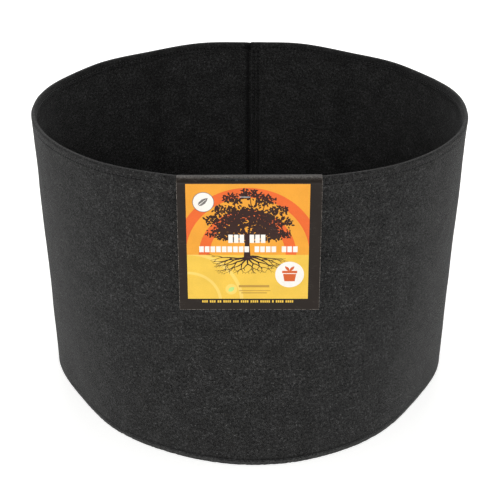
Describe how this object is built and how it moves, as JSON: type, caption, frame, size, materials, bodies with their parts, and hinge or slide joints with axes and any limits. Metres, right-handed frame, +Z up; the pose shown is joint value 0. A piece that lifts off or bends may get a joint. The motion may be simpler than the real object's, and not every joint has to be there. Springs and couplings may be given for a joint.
{
  "type": "fabric grow bag",
  "caption": "Round open-topped planter sewn from black needle-punched felt, with a turned hem, a lapped side seam, a flat base and a folded label card stapled over the rim.",
  "frame": {"origin": "on the floor under the middle of the round base, on the bag's axis", "axes": "+Z up out of the open top; -Y is the front, where the label card hangs; +Y is the back, where the lapped side seam runs; +X is to the right when the label is seen from the front"},
  "size_m": [0.4198, 0.4248, 0.2868],
  "materials": {
    "wall_felt": "matte",
    "base_felt": "matte",
    "sewing_thread": "satin",
    "label_card": "satin",
    "staple_wire": "polished"
  },
  "bodies": {
    "bag": {"side_wall": "wall_felt", "base_panel": "base_felt", "rim_stitch_outside": "sewing_thread", "rim_stitch_inside": "sewing_thread", "base_stitch_outside": "sewing_thread", "base_stitch_inside": "sewing_thread", "seam_stitch_outside_1": "sewing_thread", "seam_stitch_inside_1": "sewing_thread", "seam_stitch_outside_2": "sewing_thread", "seam_stitch_inside_2": "sewing_thread", "label_saddle": "label_card", "staple": "staple_wire"},
    "flap": {"label_flap": "label_card"}
  },
  "joints": [
    {"name": "label_flap_lift", "type": "hinge", "parent": "bag", "child": "flap", "pos_m": [0, -0.21075, 0.268], "axis": [-1, 0, 0], "range_deg": [0, 110]}
  ]
}
